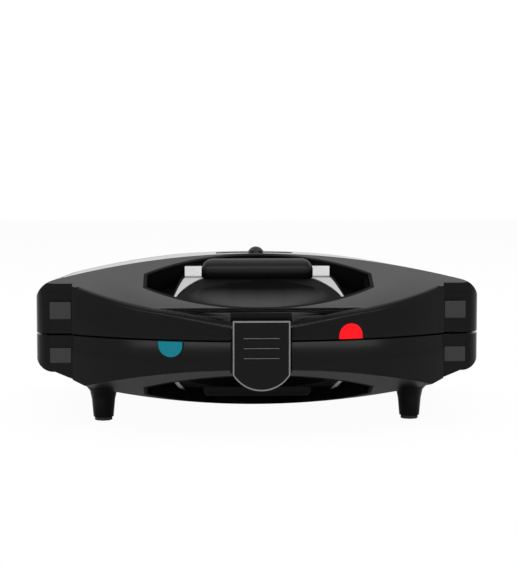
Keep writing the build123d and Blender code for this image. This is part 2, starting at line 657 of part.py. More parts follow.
def build():
    """Every node by name."""
    nodes = {}
    nodes["base_casing"] = base_casing()
    nodes["lid_casing"] = lid_casing()
    nodes["base_inner_frame"] = to_base(inner_frame([]))
    nodes["lid_inner_frame"] = to_lid(inner_frame(SCREW_SPOTS))
    nodes["lid_finger_well"] = to_lid(finger_well(LID_FORM, LID_NOSE, LID_SLOPE_TOP))
    nodes["base_finger_well"] = to_base(finger_well(BASE_FORM, BASE_NOSE, BASE_SLOPE_TOP))
    nodes["lid_well_trim"] = to_lid(well_trim(LID_NOSE, LID_SLOPE_TOP, True))
    nodes["base_well_trim"] = to_base(well_trim(BASE_NOSE, BASE_SLOPE_TOP, False))
    nodes["lid_release_button"] = to_lid(release_button())
    nodes["base_release_button"] = to_base(release_button())
    plate = cooking_plate()
    nodes["upper_plate"] = to_lid(plate)
    nodes["lower_plate"] = to_base(plate)
    element = heating_element()
    nodes["upper_heating_element"] = to_lid(element)
    nodes["lower_heating_element"] = to_base(element)
    tray = reflector()
    nodes["upper_reflector"] = to_lid(tray)
    nodes["lower_reflector"] = to_base(tray)
    nodes["lid_top_panel"] = lid_top_panel()
    nodes["lid_badge_plate"] = badge_plate()
    nodes["lid_panel_stud"] = panel_stud()
    red = light_lens(LIGHT_X, LID_FORM, lid_outer(-LIGHT_PROUD, RIM), LID_INSIDE)
    teal = light_lens(-LIGHT_X, BASE_FORM, base_outer(-LIGHT_PROUD, RIM), BASE_INSIDE)
    nodes["power_light_lens"] = to_lid(red)
    nodes["ready_light_lens"] = to_base(teal)
    nodes["power_lamp"] = to_lid(lamp(LIGHT_X))
    nodes["ready_lamp"] = to_base(lamp(-LIGHT_X))
    nodes["thermostat"] = to_base(post(0, 20, REFLECTOR_HIGH, 31.0, 9.0))
    nodes["thermal_fuse"] = to_base(rod_x(24, 46, 20, REFLECTOR_HIGH + 2.2, 2.2))
    nodes["thermal_cutout"] = to_lid(post(0, 20, REFLECTOR_HIGH, 30.0, 8.0))
    nodes["terminal_block"] = to_base(block(-62, -32, 56, 70, REFLECTOR_HIGH, 31.0))
    nodes["lid_screws"] = to_lid(group([screw(x, y, 3.6, 3.6, 16.0) for x, y in SCREW_SPOTS]))
    nodes["base_screws"] = group([to_base(screw(x, y, BASE_HEAD_H, 6.4, BASE_HEAD_H)) for x, y in SCREW_SPOTS])
    nodes["base_feet"] = group([foot(x, y) for x, y in FEET])
    nodes["foot_pads"] = group([post(x, y, 0, PAD_H, PAD_R) for x, y in FEET])
    lid_eyes = [knuckle(x - 5.7, x + 5.7) for x in (-HINGE_X, HINGE_X)]
    base_eyes = [knuckle(x + shift, x + shift + 7.0) for x in (-HINGE_X, HINGE_X) for shift in (-13.0, 6.0)]
    nodes["lid_hinge_eyes"] = group([to_lid(eye) for eye in lid_eyes])
    nodes["base_hinge_eyes"] = group([to_base(eye) for eye in base_eyes])
    pins = [rod_x(x - 13.6, x + 13.6, HINGE_Y, SEAM_Z, HINGE_PIN_R) for x in (-HINGE_X, HINGE_X)]
    nodes["hinge_pins"] = group(pins)
    nodes["latch"] = latch()
    pin_reach = CHANNEL_HALF + 2.0
    nodes["latch_pin"] = rod_x(-pin_reach, pin_reach, LATCH_PIN_Y, LATCH_PIN_Z, LATCH_PIN_R)
    nodes["cord_gland"] = cord_gland()
    return nodes


for name, solid in build().items():
    export_step(solid, f"parts/{name}.step")
    print(name, len(solid.solids()), round(solid.volume), flush=True)
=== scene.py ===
# %% [markdown]
# A multi snack maker stands closed on a pale table: two glossy black shells, a brushed
# steel panel, a latch, two little coloured windows and a lens-shaped finger well.
# The plates, the hinge and the inner pieces come from the CAD model. This file gives every
# surface its finish, makes the shells and a few small pieces again where they need softer
# shapes, and sets the light and the camera.

# %% Load the model
import math

import bmesh
import bpy
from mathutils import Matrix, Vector


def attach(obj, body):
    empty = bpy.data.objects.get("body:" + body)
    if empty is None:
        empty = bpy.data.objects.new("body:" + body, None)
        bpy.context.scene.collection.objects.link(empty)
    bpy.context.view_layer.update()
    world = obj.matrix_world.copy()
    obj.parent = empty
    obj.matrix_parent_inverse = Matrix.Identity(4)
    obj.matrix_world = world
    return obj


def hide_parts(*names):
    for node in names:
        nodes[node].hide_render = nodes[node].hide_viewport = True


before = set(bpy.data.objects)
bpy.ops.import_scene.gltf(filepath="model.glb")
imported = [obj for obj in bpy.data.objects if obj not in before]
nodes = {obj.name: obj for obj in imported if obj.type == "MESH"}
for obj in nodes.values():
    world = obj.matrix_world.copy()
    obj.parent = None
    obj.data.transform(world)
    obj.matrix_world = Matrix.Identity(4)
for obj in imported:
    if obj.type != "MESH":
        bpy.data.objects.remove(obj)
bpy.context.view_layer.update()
scene = bpy.context.scene
scene.view_settings.view_transform = "Standard"

# %% [markdown]
# The camera comes first, because every later choice is judged through it. The photograph
# was taken from almost level, about a metre from the object's middle and three to four
# centimetres to its left.
# These numbers were solved from places that are easy to find in it: the feet, the seam,
# the ends of the bow and the crown of the lid.

# %% Camera
MM = 0.001
CAMERA_AT = Vector((-34.8, -986.0, 151.0)) * MM
CAMERA_TURN_DEG = 2.164
CAMERA_DIP_DEG = 4.355
LENS_MM = 105.0

camera_data = bpy.data.cameras.new("camera")
camera_data.lens = LENS_MM
camera_data.sensor_width = 36.0
camera_data.clip_start = 0.01
camera = bpy.data.objects.new("camera", camera_data)
camera.location = CAMERA_AT
camera.rotation_euler = (math.radians(90 - CAMERA_DIP_DEG), 0, math.radians(-CAMERA_TURN_DEG))
scene.collection.objects.link(camera)
scene.camera = camera
print("camera at", tuple(round(v, 3) for v in CAMERA_AT))

# %% [markdown]
# Materials, the table and the world are all built from shader nodes. Two helpers keep that
# short: one makes an empty material, the other adds a node and sets its values by name.

# %% Small helpers for node trees
def new_material(name):
    """An empty node material with its shader and output."""
    material = bpy.data.materials.new(name)
    material.use_nodes = True
    tree = material.node_tree
    shader = tree.nodes["Principled BSDF"]
    return material, tree, shader


def add_node(tree, kind, **values):
    """A new node with its properties and input sockets set by name."""
    node = tree.nodes.new(kind)
    for key, value in values.items():
        name = key.replace("_", " ")
        if name in node.inputs:
            node.inputs[name].default_value = value
        else:
            setattr(node, key, value)
    return node


# %% [markdown]
# A glossy black object is drawn by what it mirrors. Its sloping top mirrors the space
# above and behind it, and its upright front mirrors the table in front. So the lamps are
# wide and soft, the biggest one overhead, and the world is white for the camera and for
# mirror rays but much dimmer as a lamp. A long low strip in front draws the soft band
# along the base's seam, where the wall leans back far enough to mirror it.

# %% World and lamps
world = bpy.data.worlds.new("studio")
scene.world = world
world.use_nodes = True
world_tree = world.node_tree
world_tree.nodes.clear()
lamp_sky = add_node(world_tree, "ShaderNodeBackground", Strength=0.35, Color=(1, 1, 1, 1))
seen_sky = add_node(world_tree, "ShaderNodeBackground", Strength=1.0, Color=(1, 1, 1, 1))
rays = add_node(world_tree, "ShaderNodeLightPath")
either = add_node(world_tree, "ShaderNodeMath", operation="MAXIMUM")
either_glass = add_node(world_tree, "ShaderNodeMath", operation="MAXIMUM")
sky_mix = add_node(world_tree, "ShaderNodeMixShader")
sky_out = add_node(world_tree, "ShaderNodeOutputWorld")
world_tree.links.new(rays.outputs["Is Camera Ray"], either.inputs[0])
world_tree.links.new(rays.outputs["Is Glossy Ray"], either.inputs[1])
world_tree.links.new(either.outputs[0], either_glass.inputs[0])
world_tree.links.new(rays.outputs["Is Transmission Ray"], either_glass.inputs[1])
world_tree.links.new(either_glass.outputs[0], sky_mix.inputs[0])
world_tree.links.new(lamp_sky.outputs[0], sky_mix.inputs[1])
world_tree.links.new(seen_sky.outputs[0], sky_mix.inputs[2])
world_tree.links.new(sky_mix.outputs[0], sky_out.inputs[0])


def soft_lamp(name, place, target, width, depth, watts):
    """A wide rectangular lamp that faces a point."""
    data = bpy.data.lights.new(name, "AREA")
    data.shape = "RECTANGLE"
    data.size = width
    data.size_y = depth
    data.energy = watts
    lamp = bpy.data.objects.new(name, data)
    lamp.location = place
    aim = Vector(target) - Vector(place)
    lamp.rotation_euler = aim.to_track_quat("-Z", "Y").to_euler()
    scene.collection.objects.link(lamp)
    return lamp


soft_lamp("overhead", (0, 0.35, 1.2), (0, 0, 0.05), 1.6, 1.1, 9)
soft_lamp("front_strip", (0, -1.7, 0.66), (0, 0, 0.05), 4.4, 0.28, 19)
soft_lamp("top_front", (0, -0.45, 1.2), (0, 0, 0.05), 1.6, 0.5, 4)
soft_lamp("left_side", (-1.4, 0.5, 0.8), (0, 0, 0.05), 0.8, 0.8, 4)
soft_lamp("right_side", (1.4, 0.5, 0.8), (0, 0, 0.05), 0.8, 0.8, 4)

# %% [markdown]
# The table is a white sheet with no visible horizon, as in a catalogue picture. More lamps
# would wash out the black plastic, so most of its white is given to camera rays alone, and
# a small share to mirror and glass rays, so that the upright front stays dark. The rest is
# a normal lit surface, which keeps the soft shadow under the feet.

# %% Table
TABLE_WHITE_SHARE = 0.96
TABLE_MIRROR_SHARE = 0.12
bpy.ops.object.select_all(action="DESELECT")
bpy.ops.mesh.primitive_plane_add(size=6.0, location=(0, 0, 0))
table = bpy.context.object
table.name = "table"
table_paint, table_tree, table_shader = new_material("pale_table")
table_shader.inputs["Base Color"].default_value = (0.93, 0.93, 0.93, 1)
table_shader.inputs["Roughness"].default_value = 0.7
table_shader.inputs["Specular IOR Level"].default_value = 0.1
table_rays = add_node(table_tree, "ShaderNodeLightPath")
table_share = add_node(table_tree, "ShaderNodeMath", operation="MULTIPLY")
table_share.inputs[1].default_value = TABLE_WHITE_SHARE
table_white = add_node(table_tree, "ShaderNodeEmission", Strength=1.0)
table_mix = add_node(table_tree, "ShaderNodeMixShader")
table_tree.links.new(table_rays.outputs["Is Camera Ray"], table_share.inputs[0])
table_mirror = add_node(table_tree, "ShaderNodeMath", operation="MAXIMUM")
mirror_share = add_node(table_tree, "ShaderNodeMath", operation="MULTIPLY")
mirror_share.inputs[1].default_value = TABLE_MIRROR_SHARE
table_total = add_node(table_tree, "ShaderNodeMath", operation="MAXIMUM")
table_tree.links.new(table_rays.outputs["Is Glossy Ray"], table_mirror.inputs[0])
table_tree.links.new(table_rays.outputs["Is Transmission Ray"], table_mirror.inputs[1])
table_tree.links.new(table_mirror.outputs[0], mirror_share.inputs[0])
table_tree.links.new(table_share.outputs[0], table_total.inputs[0])
table_tree.links.new(mirror_share.outputs[0], table_total.inputs[1])
table_tree.links.new(table_total.outputs[0], table_mix.inputs[0])
table_tree.links.new(table_shader.outputs[0], table_mix.inputs[1])
table_tree.links.new(table_white.outputs[0], table_mix.inputs[2])
table_tree.links.new(table_mix.outputs[0], table_tree.nodes["Material Output"].inputs["Surface"])
table.data.materials.append(table_paint)
print("table share of plain white:", TABLE_WHITE_SHARE)

# %% [markdown]
# Moulded black plastic is never one flat black. It has a faint orange-peel swell from
# the mould, very fine dust-like variation in its gloss, and a slightly lighter tone
# where light gets into it. Noise patterns on Object coordinates give all three, in real
# sizes, and the same recipe serves every moulded piece with other numbers.

# %% Moulded plastic
def moulded_plastic(name, colour, rough, rough_spread, peel, grain, specular):
    """Plastic with a swell from the mould, uneven gloss and a fine grain."""
    material, tree, shader = new_material(name)
    link = tree.links.new
    place = add_node(tree, "ShaderNodeTexCoord")
    cloud = add_node(tree, "ShaderNodeTexNoise", Scale=38.0, Detail=3.0, Roughness=0.5)
    fine = add_node(tree, "ShaderNodeTexNoise", Scale=1400.0, Detail=2.0)
    link(place.outputs["Object"], cloud.inputs["Vector"])
    link(place.outputs["Object"], fine.inputs["Vector"])
    tone = add_node(tree, "ShaderNodeMix", data_type="RGBA")
    tone.inputs["A"].default_value = (*[c * 0.85 for c in colour], 1)
    tone.inputs["B"].default_value = (*[min(1, c * 1.2) for c in colour], 1)
    link(cloud.outputs["Fac"], tone.inputs["Factor"])
    link(tone.outputs["Result"], shader.inputs["Base Color"])
    gloss = add_node(tree, "ShaderNodeMapRange")
    gloss.inputs["To Min"].default_value = rough - rough_spread
    gloss.inputs["To Max"].default_value = rough + rough_spread
    link(cloud.outputs["Fac"], gloss.inputs["Value"])
    link(gloss.outputs["Result"], shader.inputs["Roughness"])
    swell = add_node(tree, "ShaderNodeBump", Strength=peel, Distance=0.0004)
    link(cloud.outputs["Fac"], swell.inputs["Height"])
    pores = add_node(tree, "ShaderNodeBump", Strength=grain, Distance=0.00003)
    link(fine.outputs["Fac"], pores.inputs["Height"])
    link(swell.outputs["Normal"], pores.inputs["Normal"])
    link(pores.outputs["Normal"], shader.inputs["Normal"])
    shader.inputs["Specular IOR Level"].default_value = specular
    return material


gloss_black = moulded_plastic("gloss_black", (0.002, 0.002, 0.0022), 0.2, 0.03, 0.04, 0.03, 0.12)
satin_black = moulded_plastic("satin_black", (0.005, 0.005, 0.0055), 0.32, 0.04, 0.05, 0.12, 0.16)
matt_black = moulded_plastic("matt_black", (0.03, 0.03, 0.03), 0.6, 0.06, 0.1, 0.4, 0.4)
rubber_black = moulded_plastic("rubber_black", (0.02, 0.02, 0.02), 0.75, 0.05, 0.1, 0.6, 0.3)
cream_ceramic = moulded_plastic("cream_ceramic", (0.8, 0.77, 0.7), 0.35, 0.05, 0.1, 0.2, 0.5)
brown_resin = moulded_plastic("brown_resin", (0.12, 0.07, 0.04), 0.4, 0.05, 0.1, 0.3, 0.5)

# %% [markdown]
# Brushed steel has hair-thin scratches that all run one way. A noise pattern stretched a
# few hundred times along X draws them, both as small changes in gloss and as a bump, and
# the shader's anisotropy spreads the light across them as on the real panel.

# %% Metals
def brushed_metal(name, colour, rough, along, strength, aniso):
    """Metal with fine scratches along one axis."""
    material, tree, shader = new_material(name)
    link = tree.links.new
    place = add_node(tree, "ShaderNodeTexCoord")
    squeeze = add_node(tree, "ShaderNodeMapping")
    squeeze.inputs["Scale"].default_value = along
    scratch = add_node(tree, "ShaderNodeTexNoise", Scale=60.0, Detail=5.0, Roughness=0.65)
    link(place.outputs["Object"], squeeze.inputs["Vector"])
    link(squeeze.outputs["Vector"], scratch.inputs["Vector"])
    tone = add_node(tree, "ShaderNodeMix", data_type="RGBA")
    tone.inputs["A"].default_value = (*[c * 0.86 for c in colour], 1)
    tone.inputs["B"].default_value = (*[min(1, c * 1.08) for c in colour], 1)
    link(scratch.outputs["Fac"], tone.inputs["Factor"])
    link(tone.outputs["Result"], shader.inputs["Base Color"])
    gloss = add_node(tree, "ShaderNodeMapRange")
    gloss.inputs["To Min"].default_value = rough - 0.07
    gloss.inputs["To Max"].default_value = rough + 0.07
    link(scratch.outputs["Fac"], gloss.inputs["Value"])
    link(gloss.outputs["Result"], shader.inputs["Roughness"])
    bump = add_node(tree, "ShaderNodeBump", Strength=strength, Distance=0.0001)
    link(scratch.outputs["Fac"], bump.inputs["Height"])
    link(bump.outputs["Normal"], shader.inputs["Normal"])
    shader.inputs["Metallic"].default_value = 1.0
    shader.inputs["Anisotropic"].default_value = aniso
    return material


panel_steel = brushed_metal("panel_steel", (0.36, 0.36, 0.365), 0.3, (1, 60, 60), 0.12, 0.5)
# Painted shade: the tails are the cheeks' steel again, in a darker copy.
tail_steel_painted_shade = brushed_metal("tail_steel_painted_shade", (0.26, 0.26, 0.265), 0.35, (1, 8, 8), 0.03, 0.0)
polished_steel = brushed_metal("polished_steel", (0.7, 0.7, 0.71), 0.2, (1, 8, 8), 0.03, 0.0)
bright_steel = brushed_metal("bright_steel", (0.6, 0.6, 0.61), 0.28, (1, 12, 12), 0.08, 0.0)
element_steel = brushed_metal("element_steel", (0.3, 0.29, 0.27), 0.42, (6, 6, 6), 0.15, 0.0)
mill_aluminium = brushed_metal("mill_aluminium", (0.72, 0.73, 0.74), 0.34, (1, 20, 20), 0.1, 0.2)
dark_plate = brushed_metal("dark_plate", (0.1, 0.1, 0.105), 0.3, (1, 30, 30), 0.05, 0.2)

# %% [markdown]
# The cooking plates have a sprayed non-stick coat: very dark, a little speckled, with a
# soft sheen. The speckle is a sharp-edged noise that is only a shade lighter.

# %% Non-stick coat
def non_stick_coat():
    """A dark sprayed coat with pale specks."""
    material, tree, shader = new_material("non_stick_coat")
    link = tree.links.new
    place = add_node(tree, "ShaderNodeTexCoord")
    speck = add_node(tree, "ShaderNodeTexVoronoi", Scale=900.0)
    link(place.outputs["Object"], speck.inputs["Vector"])
    ramp = add_node(tree, "ShaderNodeValToRGB")
    ramp.color_ramp.elements[0].position = 0.08
    ramp.color_ramp.elements[0].color = (0.14, 0.14, 0.14, 1)
    ramp.color_ramp.elements[1].position = 0.16
    ramp.color_ramp.elements[1].color = (0.022, 0.022, 0.023, 1)
    link(speck.outputs["Distance"], ramp.inputs["Fac"])
    link(ramp.outputs["Color"], shader.inputs["Base Color"])
    bump = add_node(tree, "ShaderNodeBump", Strength=0.15, Distance=0.00005)
    link(speck.outputs["Distance"], bump.inputs["Height"])
    link(bump.outputs["Normal"], shader.inputs["Normal"])
    shader.inputs["Roughness"].default_value = 0.38
    return material


coat = non_stick_coat()

# %% [markdown]
# The two windows are clear coloured plastic over a lamp: red in the lid and teal in the
# base. Light gets into them and comes back out, and a faint painted glow stands in for it,
# sent out as emission in their own colour, while a faint mottle looks closer than plain paint.

# %% Window plastic
def window_plastic(name, deep, bright):
    """Coloured plastic with a faint mottle and a faint painted glow."""
    material, tree, shader = new_material(name)
    link = tree.links.new
    place = add_node(tree, "ShaderNodeTexCoord")
    mottle = add_node(tree, "ShaderNodeTexNoise", Scale=220.0, Detail=2.0)
    link(place.outputs["Object"], mottle.inputs["Vector"])
    tone = add_node(tree, "ShaderNodeMix", data_type="RGBA")
    tone.inputs["A"].default_value = (*deep, 1)
    tone.inputs["B"].default_value = (*bright, 1)
    link(mottle.outputs["Fac"], tone.inputs["Factor"])
    link(tone.outputs["Result"], shader.inputs["Base Color"])
    # Painted glow: the same colour is also sent out as faint emission.
    link(tone.outputs["Result"], shader.inputs["Emission Color"])
    shader.inputs["Emission Strength"].default_value = 0.25
    shader.inputs["Roughness"].default_value = 0.15
    shader.inputs["Specular IOR Level"].default_value = 0.15
    return material


red_window = window_plastic("red_window", (0.8, 0.0, 0.003), (0.95, 0.002, 0.008))
teal_window = window_plastic("teal_window", (0.0, 0.11, 0.15), (0.0, 0.17, 0.22))
lamp_glass = window_plastic("lamp_glass", (0.8, 0.45, 0.3), (0.9, 0.6, 0.45))

# %% [markdown]
# The finger well is made darker than the shell round it, as painted shade for the little light
# that gets in, and a soft grey ellipse in the middle of its dish is a painted highlight. The
# ellipse is a spherical gradient on Object coordinates, moved to the dish and stretched.

# %% Well plastic
def well_plastic():
    """Black plastic darkened as painted shade, with a painted grey highlight in the middle of the dish."""
    material, tree, shader = new_material("well_shade_and_highlight")
    link = tree.links.new
    place = add_node(tree, "ShaderNodeTexCoord")
    highlight_spot = add_node(tree, "ShaderNodeMapping", vector_type="TEXTURE")
    highlight_spot.inputs["Location"].default_value = (0, -0.071, 0.0745)
    highlight_spot.inputs["Scale"].default_value = (0.04, 0.016, 0.012)
    glow = add_node(tree, "ShaderNodeTexGradient", gradient_type="SPHERICAL")
    cloud = add_node(tree, "ShaderNodeTexNoise", Scale=160.0, Detail=3.0)
    tone = add_node(tree, "ShaderNodeMix", data_type="RGBA")
    tone.inputs["A"].default_value = (0.0015, 0.0015, 0.0016, 1)
    # Painted highlight: the lighter grey that the gradient mixes in at the dish's middle.
    tone.inputs["B"].default_value = (0.13, 0.13, 0.133, 1)
    link(place.outputs["Object"], highlight_spot.inputs["Vector"])
    link(highlight_spot.outputs["Vector"], glow.inputs["Vector"])
    link(glow.outputs["Fac"], tone.inputs["Factor"])
    link(tone.outputs["Result"], shader.inputs["Base Color"])
    link(place.outputs["Object"], cloud.inputs["Vector"])
    gloss = add_node(tree, "ShaderNodeMapRange")
    gloss.inputs["To Min"].default_value = 0.4
    gloss.inputs["To Max"].default_value = 0.5
    link(cloud.outputs["Fac"], gloss.inputs["Value"])
    link(gloss.outputs["Result"], shader.inputs["Roughness"])
    # Painted shade: a very low specular keeps the well darker than the shell round it.
    shader.inputs["Specular IOR Level"].default_value = 0.02
    return material


well_shade_and_highlight = well_plastic()

# %% [markdown]
# Each CAD piece gets its finish by name, so nothing is left in a plain default colour.

# %% Finishes by node
FINISHES = {
    gloss_black: (
        "base_casing",
        "lid_casing",
        "latch",
        "lid_panel_stud",
        "base_feet",
        "base_hinge_eyes",
        "lid_hinge_eyes",
    ),
    well_shade_and_highlight: ("base_finger_well", "lid_finger_well"),
    satin_black: ("lid_release_button", "base_release_button"),
    matt_black: ("base_inner_frame", "lid_inner_frame"),
    rubber_black: ("foot_pads", "cord_gland"),
    cream_ceramic: ("terminal_block", "thermal_fuse"),
    brown_resin: ("thermostat", "thermal_cutout"),
    panel_steel: ("lid_top_panel",),
    polished_steel: ("lid_well_trim", "base_well_trim"),
    bright_steel: ("base_screws", "lid_screws", "hinge_pins"),
    element_steel: ("lower_heating_element", "upper_heating_element"),
    mill_aluminium: ("lower_reflector", "upper_reflector"),
    dark_plate: ("lid_badge_plate", "latch_pin"),
    coat: ("lower_plate", "upper_plate"),
    red_window: ("power_light_lens",),
    teal_window: ("ready_light_lens",),
    lamp_glass: ("power_lamp", "ready_lamp"),
}

for finish, names in FINISHES.items():
    for name in names:
        mesh = nodes[name].data
        mesh.materials.clear()
        mesh.materials.append(finish)
finished = {name for names in FINISHES.values() for name in names}
print("nodes with no finish:", sorted(set(nodes) - finished))

# %% [markdown]
# A CAD piece's curves are cut into flat facets, and its mesh may not be changed. So where a
# piece shows, a merged copy stands for it: its doubled corners are joined and its flat
# triangles dissolved into whole faces, which lets it be shaded smoothly or cut further.

# %% A copy to work on
MERGE_MM = 0.004
FLAT_DEG = 0.6


def pick_only(thing):
    """Leaves one object selected and active."""
    bpy.ops.object.select_all(action="DESELECT")
    thing.select_set(True)
    bpy.context.view_layer.objects.active = thing


def working_copy(name, body):
    """A merged copy of a CAD piece that rides on its body and stands for it."""
    piece = bpy.data.objects.new(name + "_shaped", nodes[name].data.copy())
    scene.collection.objects.link(piece)
    pick_only(piece)
    bpy.ops.object.mode_set(mode="EDIT")
    bpy.ops.mesh.select_all(action="SELECT")
    bpy.ops.mesh.remove_doubles(threshold=MERGE_MM * MM)
    bpy.ops.mesh.dissolve_limited(angle_limit=math.radians(FLAT_DEG))
    bpy.ops.object.mode_set(mode="OBJECT")
    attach(piece, body)
    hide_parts(name)
    return piece


# %% [markdown]
# A radius goes on chosen edges only. They are picked by where their middle lies and by how
# sharply their faces meet, and the bevel operator rounds just those. For shading, edges up
# to a set angle are smoothed, and a weighted-normal modifier keeps broad faces flat.

# %% Round chosen edges
SHARP_DEG = 22.0


def round_edges(piece, wanted, width_mm, segments=3):
    """Bevels the sharp edges whose middle, in millimetres, is wanted."""
    pick_only(piece)
    bpy.ops.object.mode_set(mode="EDIT")
    bpy.ops.mesh.select_mode(type="EDGE")
    bpy.ops.mesh.select_all(action="DESELECT")
    mesh = bmesh.from_edit_mesh(piece.data)
    count = 0
    for edge in mesh.edges:
        middle = (edge.verts[0].co + edge.verts[1].co) / 2 / MM
        sharp = len(edge.link_faces) == 2 and edge.calc_face_angle(0) > math.radians(SHARP_DEG)
        if sharp and wanted(middle):
            edge.select_set(True)
            count += 1
    bmesh.update_edit_mesh(piece.data)
    bpy.ops.mesh.bevel(offset=width_mm * MM, segments=segments, profile=0.5, clamp_overlap=False)
    bpy.ops.object.mode_set(mode="OBJECT")
    return count


def apply_modifier(piece, kind, **values):
    """Adds a modifier, sets it and applies it."""
    pick_only(piece)
    modifier = piece.modifiers.new(kind.lower(), kind)
    for key, value in values.items():
        setattr(modifier, key, value)
    bpy.ops.object.modifier_apply(modifier=modifier.name)


def even_shading(piece, angle_deg):
    """Smooth across shallow edges, crisp at the others, and flat on broad faces."""
    pick_only(piece)
    bpy.ops.object.shade_smooth_by_angle(angle=math.radians(angle_deg))
    apply_modifier(piece, "WEIGHTED_NORMAL", keep_sharp=True, weight=100)


# %% [markdown]
# The real shells are smooth curves, and the CAD shells are cut into flat facets to keep the
# model light. So each shell is made again at full smoothness in the CAD's own way: a plan
# seen from above, an arch seen from the front and an outline seen from the side are each
# drawn once, pulled out to a long solid, and the shell is what all three have in common.

# %% Outlines and solids
SEAM_Z_MM = 52.0
SEAM_Z = SEAM_Z_MM * MM


def arc_points(start, middle, end, steps):
    """Points on the circle through three points, from the first to the last."""
    (x1, y1), (x2, y2), (x3, y3) = start, middle, end
    twist = 2 * (x1 * (y2 - y3) + x2 * (y3 - y1) + x3 * (y1 - y2))
    q1, q2, q3 = x1 * x1 + y1 * y1, x2 * x2 + y2 * y2, x3 * x3 + y3 * y3
    cx = (q1 * (y2 - y3) + q2 * (y3 - y1) + q3 * (y1 - y2)) / twist
    cy = (q1 * (x3 - x2) + q2 * (x1 - x3) + q3 * (x2 - x1)) / twist
    radius = math.hypot(x1 - cx, y1 - cy)
    angles = [math.atan2(y - cy, x - cx) for x, y in (start, middle, end)]
    turn = 2 * math.pi
    sweep = (angles[2] - angles[0]) % turn
    if (angles[1] - angles[0]) % turn > sweep:
        sweep -= turn
    spots = [angles[0] + sweep * number / steps for number in range(steps + 1)]
    return [(cx + radius * math.cos(spot), cy + radius * math.sin(spot)) for spot in spots]


def drawn_solid(name, ring, pull):
    """Fills a closed ring of points, in millimetres, and extrudes it by a vector."""
    mesh = bpy.data.meshes.new(name)
    mesh.from_pydata([Vector(point) * MM for point in ring], [], [list(range(len(ring)))])
    thing = bpy.data.objects.new(name, mesh)
    scene.collection.objects.link(thing)
    pick_only(thing)
    bpy.ops.object.mode_set(mode="EDIT")
    bpy.ops.mesh.select_all(action="SELECT")
    bpy.ops.mesh.extrude_region_move(TRANSFORM_OT_translate={"value": Vector(pull) * MM})
    bpy.ops.mesh.select_all(action="SELECT")
    bpy.ops.mesh.normals_make_consistent(inside=False)
    bpy.ops.object.mode_set(mode="OBJECT")
    return thing


def combine(target, tool, operation):
    """Combines a tool solid with the target and removes the tool."""
    apply_modifier(target, "BOOLEAN", operation=operation, solver="EXACT", object=tool)
    bpy.data.objects.remove(tool, do_unlink=True)


def drum(name, radius, x, y, low, high, sides):
    """An upright round solid, in millimetres."""
    bpy.ops.object.select_all(action="DESELECT")
    place = Vector((x, y, (low + high) / 2)) * MM
    bpy.ops.mesh.primitive_cylinder_add(
        vertices=sides, radius=radius * MM, depth=(high - low) * MM, location=place
    )
    bpy.context.object.name = name
    bpy.ops.object.transform_apply(location=True, rotation=True, scale=True)
    return bpy.context.object


def crate(name, low, high):
    """A box between two corners, in millimetres."""
    bpy.ops.object.select_all(action="DESELECT")
    middle = [(a + b) / 2 * MM for a, b in zip(low, high)]
    bpy.ops.mesh.primitive_cube_add(size=1.0, location=middle)
    thing = bpy.context.object
    thing.name = name
    thing.scale = [(b - a) * MM for a, b in zip(low, high)]
    bpy.ops.object.transform_apply(location=True, rotation=True, scale=True)
    return thing


# %% [markdown]
# The numbers are the CAD model's own, so the smooth shell fills the same space, apart from
# the base's wall, which is leaned back further on. Heights are measured upwards from the
# seam, and the base is built the same way as the lid and turned over.

# %% The three outlines
HALF_WIDTH = 125.0
FRONT_Y = -66.0
REAR_Y = 99.5
CORNER_R = 11.0
BOW_R = 164.66
BOW_FRONT_Y = -106.0
BOW_HALF = 104.0
ARCH_TURN_Y = -31.0
WALL = 2.6
RIM = 0.6
LID = {
    "arch": (43.2, 29.2, 14.5),
    "dip": 2.4,
    "nose": ((-106.6, 5.6), (-102.0, 12.6), (-94.0, 17.0)),
    "top": 43.0,
    "rear": ((40.0, 41.4), (75.0, 38.6), (104.0, 34.6)),
    "groove": (23.8, 18.8),
    "light_x": 49.0,
}
BASE = {
    "arch": (44.9, 21.0, 12.8),
    "dip": 0.0,
    "nose": ((-106.6, 14.2), (-105.4, 15.4), (-103.0, 16.3)),
    "top": 45.3,
    "rear": ((30.0, 45.2), (70.0, 42.6), (104.0, 37.5)),
    "groove": (16.5, 21.5),
    "light_x": -49.0,
}


def plan_solid(inset):
    """The rounded box and the bow in front, as seen from above."""
    edge = HALF_WIDTH - inset
    box = crate("plan", (-edge, FRONT_Y + inset, -20), (edge, REAR_Y - inset, 80))
    pick_only(box)
    bpy.ops.object.mode_set(mode="EDIT")
    bpy.ops.mesh.select_mode(type="EDGE")
    bpy.ops.mesh.select_all(action="DESELECT")
    mesh = bmesh.from_edit_mesh(box.data)
    for side in mesh.edges:
        side.select_set(abs(side.verts[0].co.z - side.verts[1].co.z) > 0.05)
    bmesh.update_edit_mesh(box.data)
    bpy.ops.mesh.bevel(offset=(CORNER_R - inset) * MM, segments=10, profile=0.5)
    bpy.ops.object.mode_set(mode="OBJECT")
    bow = drum("bow", BOW_R - inset, 0, BOW_FRONT_Y + BOW_R, -20, 80, 768)
    strip_edge = BOW_HALF - inset
    combine(bow, crate("strip", (-strip_edge, -120, -30), (strip_edge, -40, 90)), "INTERSECT")
    combine(box, bow, "UNION")
    return box


